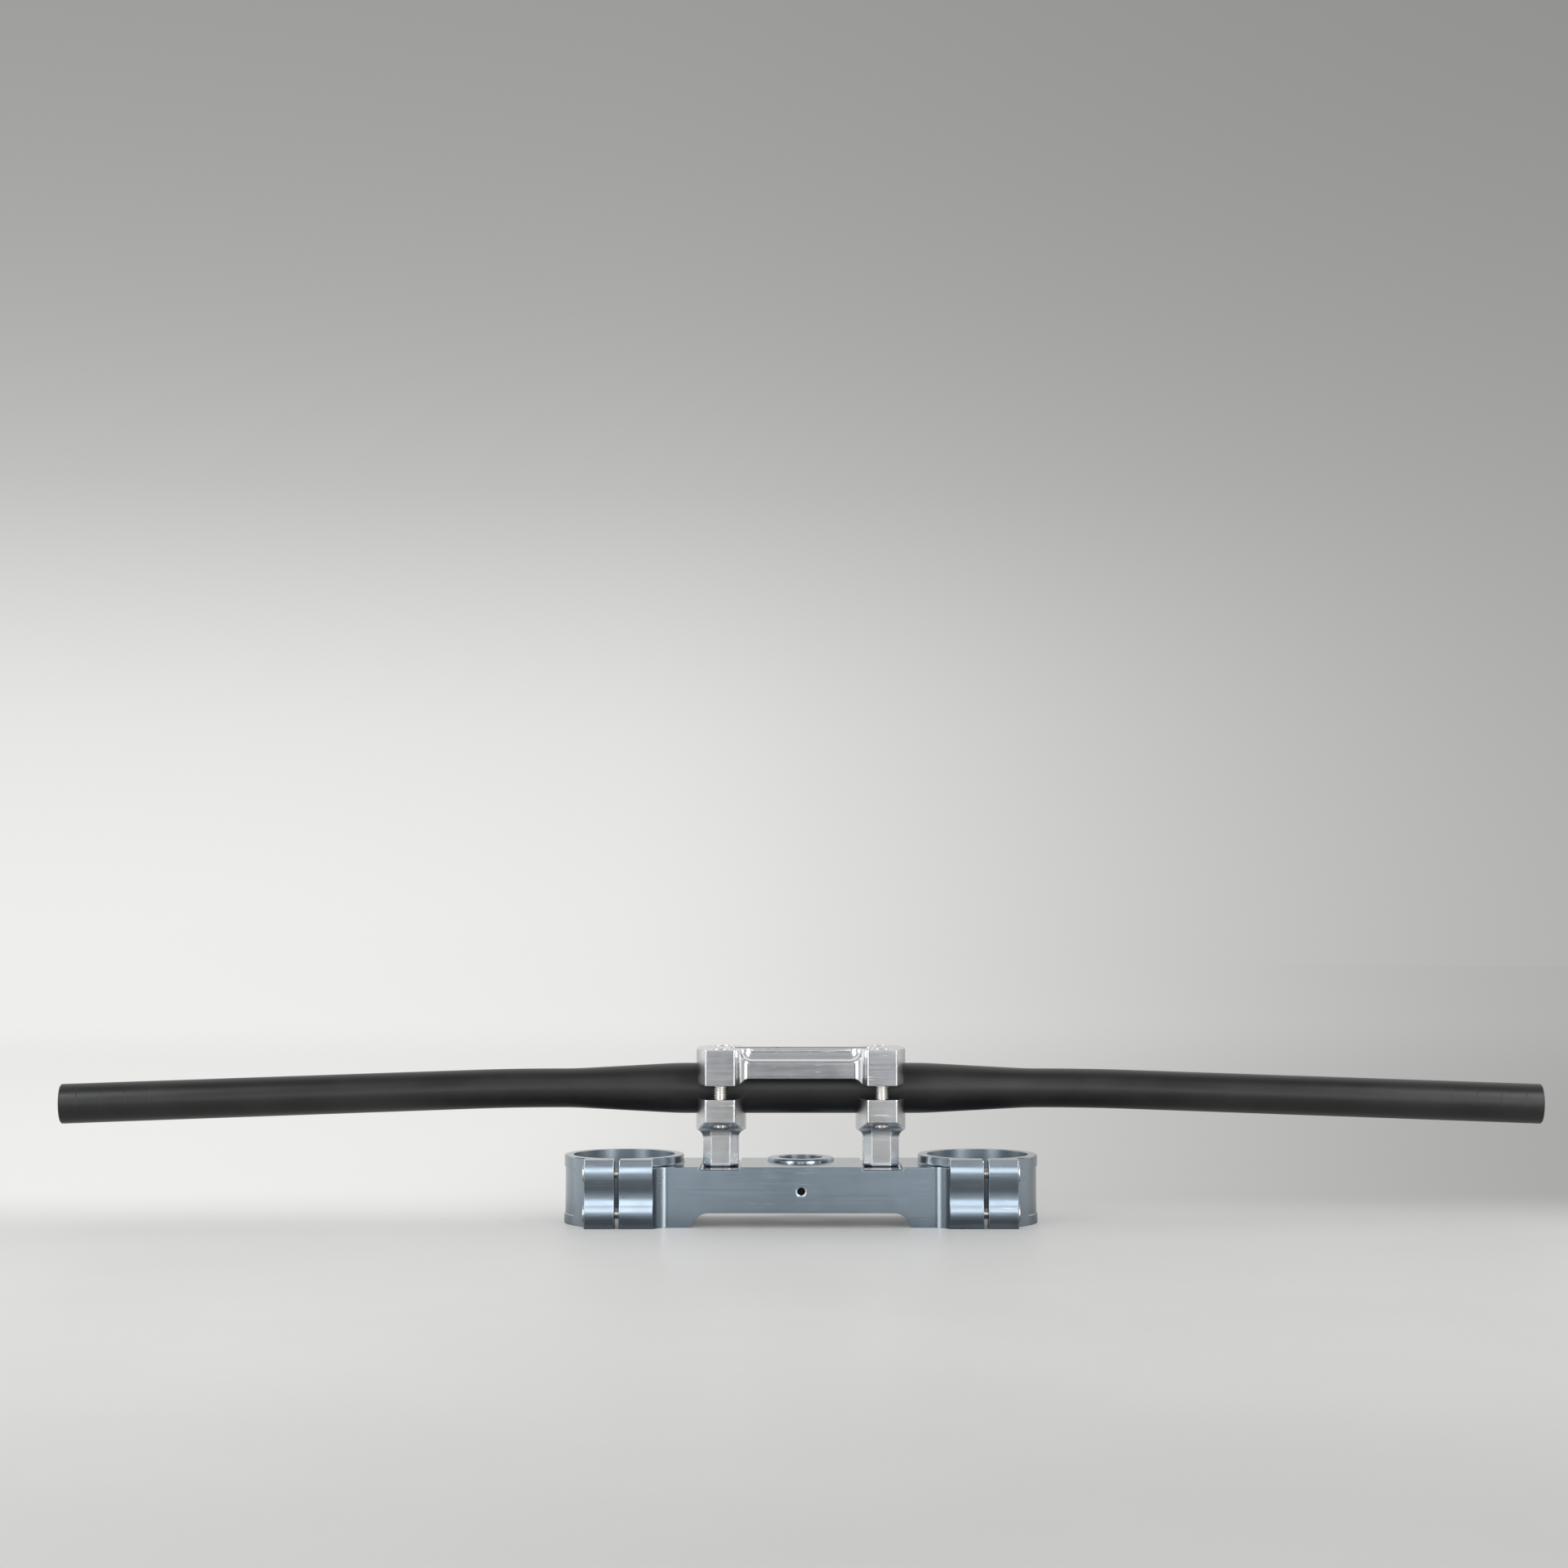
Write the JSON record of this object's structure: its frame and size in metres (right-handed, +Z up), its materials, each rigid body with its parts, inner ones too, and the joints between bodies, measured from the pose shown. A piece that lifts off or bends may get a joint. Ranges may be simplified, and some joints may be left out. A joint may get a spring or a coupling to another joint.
{
  "type": "tapered handlebar on a top yoke",
  "caption": "Swaged motorcycle handlebar, thick in the middle, held by a one-piece bar clamp on two risers bolted to a split-ring fork top yoke.",
  "frame": {"origin": "on the surface that the yoke's flat underside rests on, under the middle of the bar, in the upright plane that holds the bar's middle axis and both fork tubes", "axes": "+X along the bar to the right as seen from the pinch-bolt side, +Y away from that side, +Z up"},
  "size_m": [0.835, 0.0747, 0.0988],
  "materials": {
    "black_bar": "matte black anodised",
    "clamp_aluminium": "bare machined, fine tool lines",
    "riser_aluminium": "bare machined, fine tool lines",
    "yoke_anodised": "blue-grey anodised, satin",
    "bolt_steel": "plain stainless",
    "washer_steel": "plain stainless"
  },
  "bodies": {
    "root": {"handlebar": "black_bar", "top_clamp": "clamp_aluminium", "top_yoke": "yoke_anodised", "clamp_bolt_front_left": "bolt_steel", "clamp_bolt_front_right": "bolt_steel", "clamp_bolt_rear_left": "bolt_steel", "clamp_bolt_rear_right": "bolt_steel", "riser_left": "riser_aluminium", "riser_bolt_left": "bolt_steel", "riser_washer_left": "washer_steel", "pinch_bolt_upper_left": "bolt_steel", "pinch_bolt_lower_left": "bolt_steel", "riser_right": "riser_aluminium", "riser_bolt_right": "bolt_steel", "riser_washer_right": "washer_steel", "pinch_bolt_upper_right": "bolt_steel", "pinch_bolt_lower_right": "bolt_steel"}
  },
  "joints": []
}
